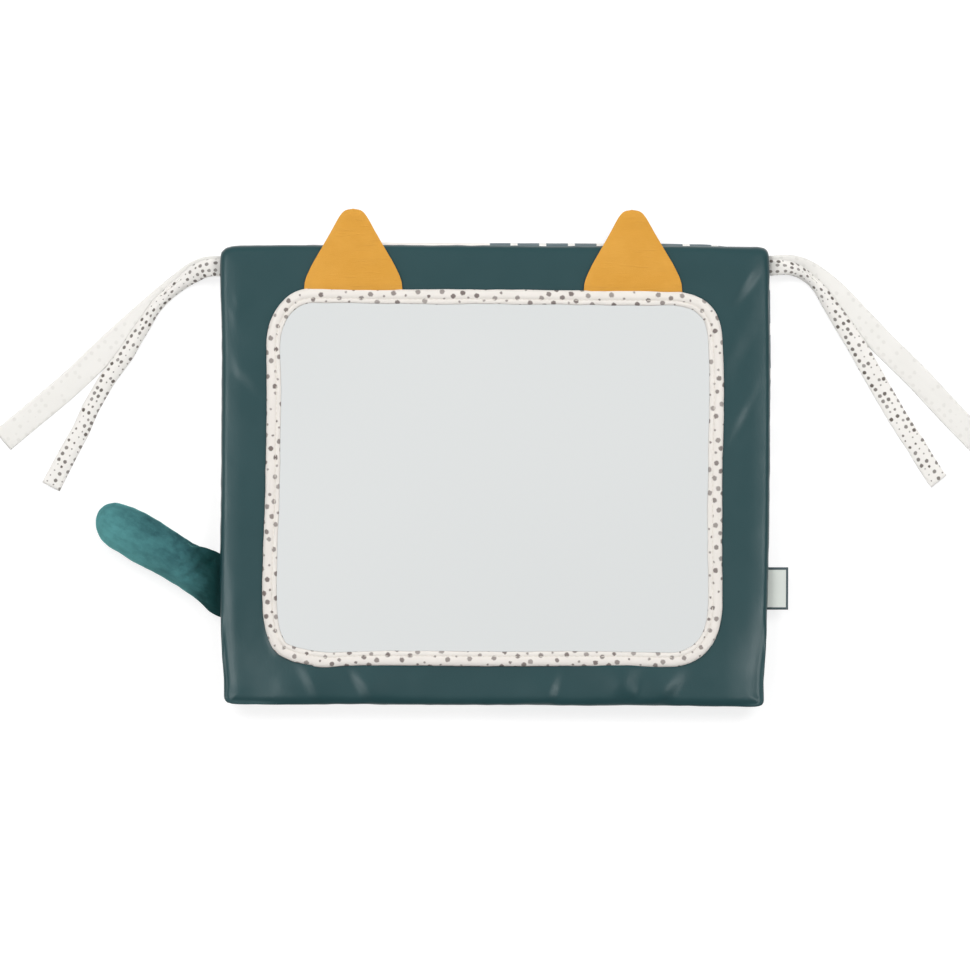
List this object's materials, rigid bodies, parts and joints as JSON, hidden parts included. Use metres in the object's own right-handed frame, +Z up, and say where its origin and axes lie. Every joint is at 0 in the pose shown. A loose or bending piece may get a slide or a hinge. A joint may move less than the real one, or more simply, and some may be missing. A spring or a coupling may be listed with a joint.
{
  "type": "baby sensory mirror",
  "caption": "Soft folding baby mirror: a bound mirror on a padded panel hinged to a padded back panel, with fabric ears, a stuffed tail and tie tapes.",
  "frame": {"origin": "on the surface that the toy lies on, under the middle of the mirror panel", "axes": "+Z up, the way the mirror faces; +Y towards the hinge spine and the ears; +X towards the label"},
  "size_m": [0.6046, 0.2975, 0.0312],
  "materials": {
    "coated_fabric": "satin",
    "lining_fabric": "matte",
    "printed_cotton": "matte",
    "foam": "matte",
    "stiffener_board": "matte",
    "mirror": "polished",
    "dotted_tape": "matte",
    "plain_tape": "matte",
    "ochre_cotton": "matte",
    "crackle_film": "satin",
    "velour": "matte",
    "stuffing": "matte",
    "label_tape": "matte"
  },
  "bodies": {
    "back_panel": {"back_cover": "printed_cotton", "back_foam": "foam", "back_board": "stiffener_board", "back_lining": "lining_fabric", "hinge_spine": "printed_cotton", "tie_left_plain": "plain_tape", "tie_left_printed": "dotted_tape", "tie_right_plain": "plain_tape", "tie_right_printed": "dotted_tape"},
    "mirror_panel": {"front_cover": "coated_fabric", "front_foam": "foam", "front_board": "stiffener_board", "front_lining": "lining_fabric", "mirror_sheet": "mirror", "mirror_binding": "dotted_tape"},
    "ear_left": {"ear_left_front": "ochre_cotton", "ear_left_film": "crackle_film", "ear_left_back": "ochre_cotton"},
    "ear_right": {"ear_right_front": "ochre_cotton", "ear_right_film": "crackle_film", "ear_right_back": "ochre_cotton"},
    "tail": {"tail_cover": "velour", "tail_stuffing": "stuffing"},
    "loop_label": {"label": "label_tape"}
  },
  "joints": [
    {"name": "panel_fold", "type": "hinge", "parent": "back_panel", "child": "mirror_panel", "pos_m": [0, 0.1395, 0.014], "axis": [-1, 0, 0], "range_deg": [0, 180], "deforming": ["hinge_spine"]},
    {"name": "ear_left_flap", "type": "hinge", "parent": "mirror_panel", "child": "ear_left", "pos_m": [-0.0846, 0.1115, 0.0313], "axis": [-1, 0, 0], "range_deg": [-165, 0]},
    {"name": "ear_right_flap", "type": "hinge", "parent": "mirror_panel", "child": "ear_right", "pos_m": [0.0836, 0.1115, 0.0313], "axis": [-1, 0, 0], "range_deg": [-165, 0]},
    {"name": "tail_flap", "type": "hinge", "parent": "mirror_panel", "child": "tail", "pos_m": [-0.16361, -0.0663, 0.0147], "axis": [0, -1, 0], "range_deg": [-45, 0]},
    {"name": "label_flap", "type": "hinge", "parent": "mirror_panel", "child": "loop_label", "pos_m": [0.1636, -0.0684, 0.01535], "axis": [0, -1, 0], "range_deg": [-15, 45], "stiffness_Nm_per_rad": 0.002}
  ]
}
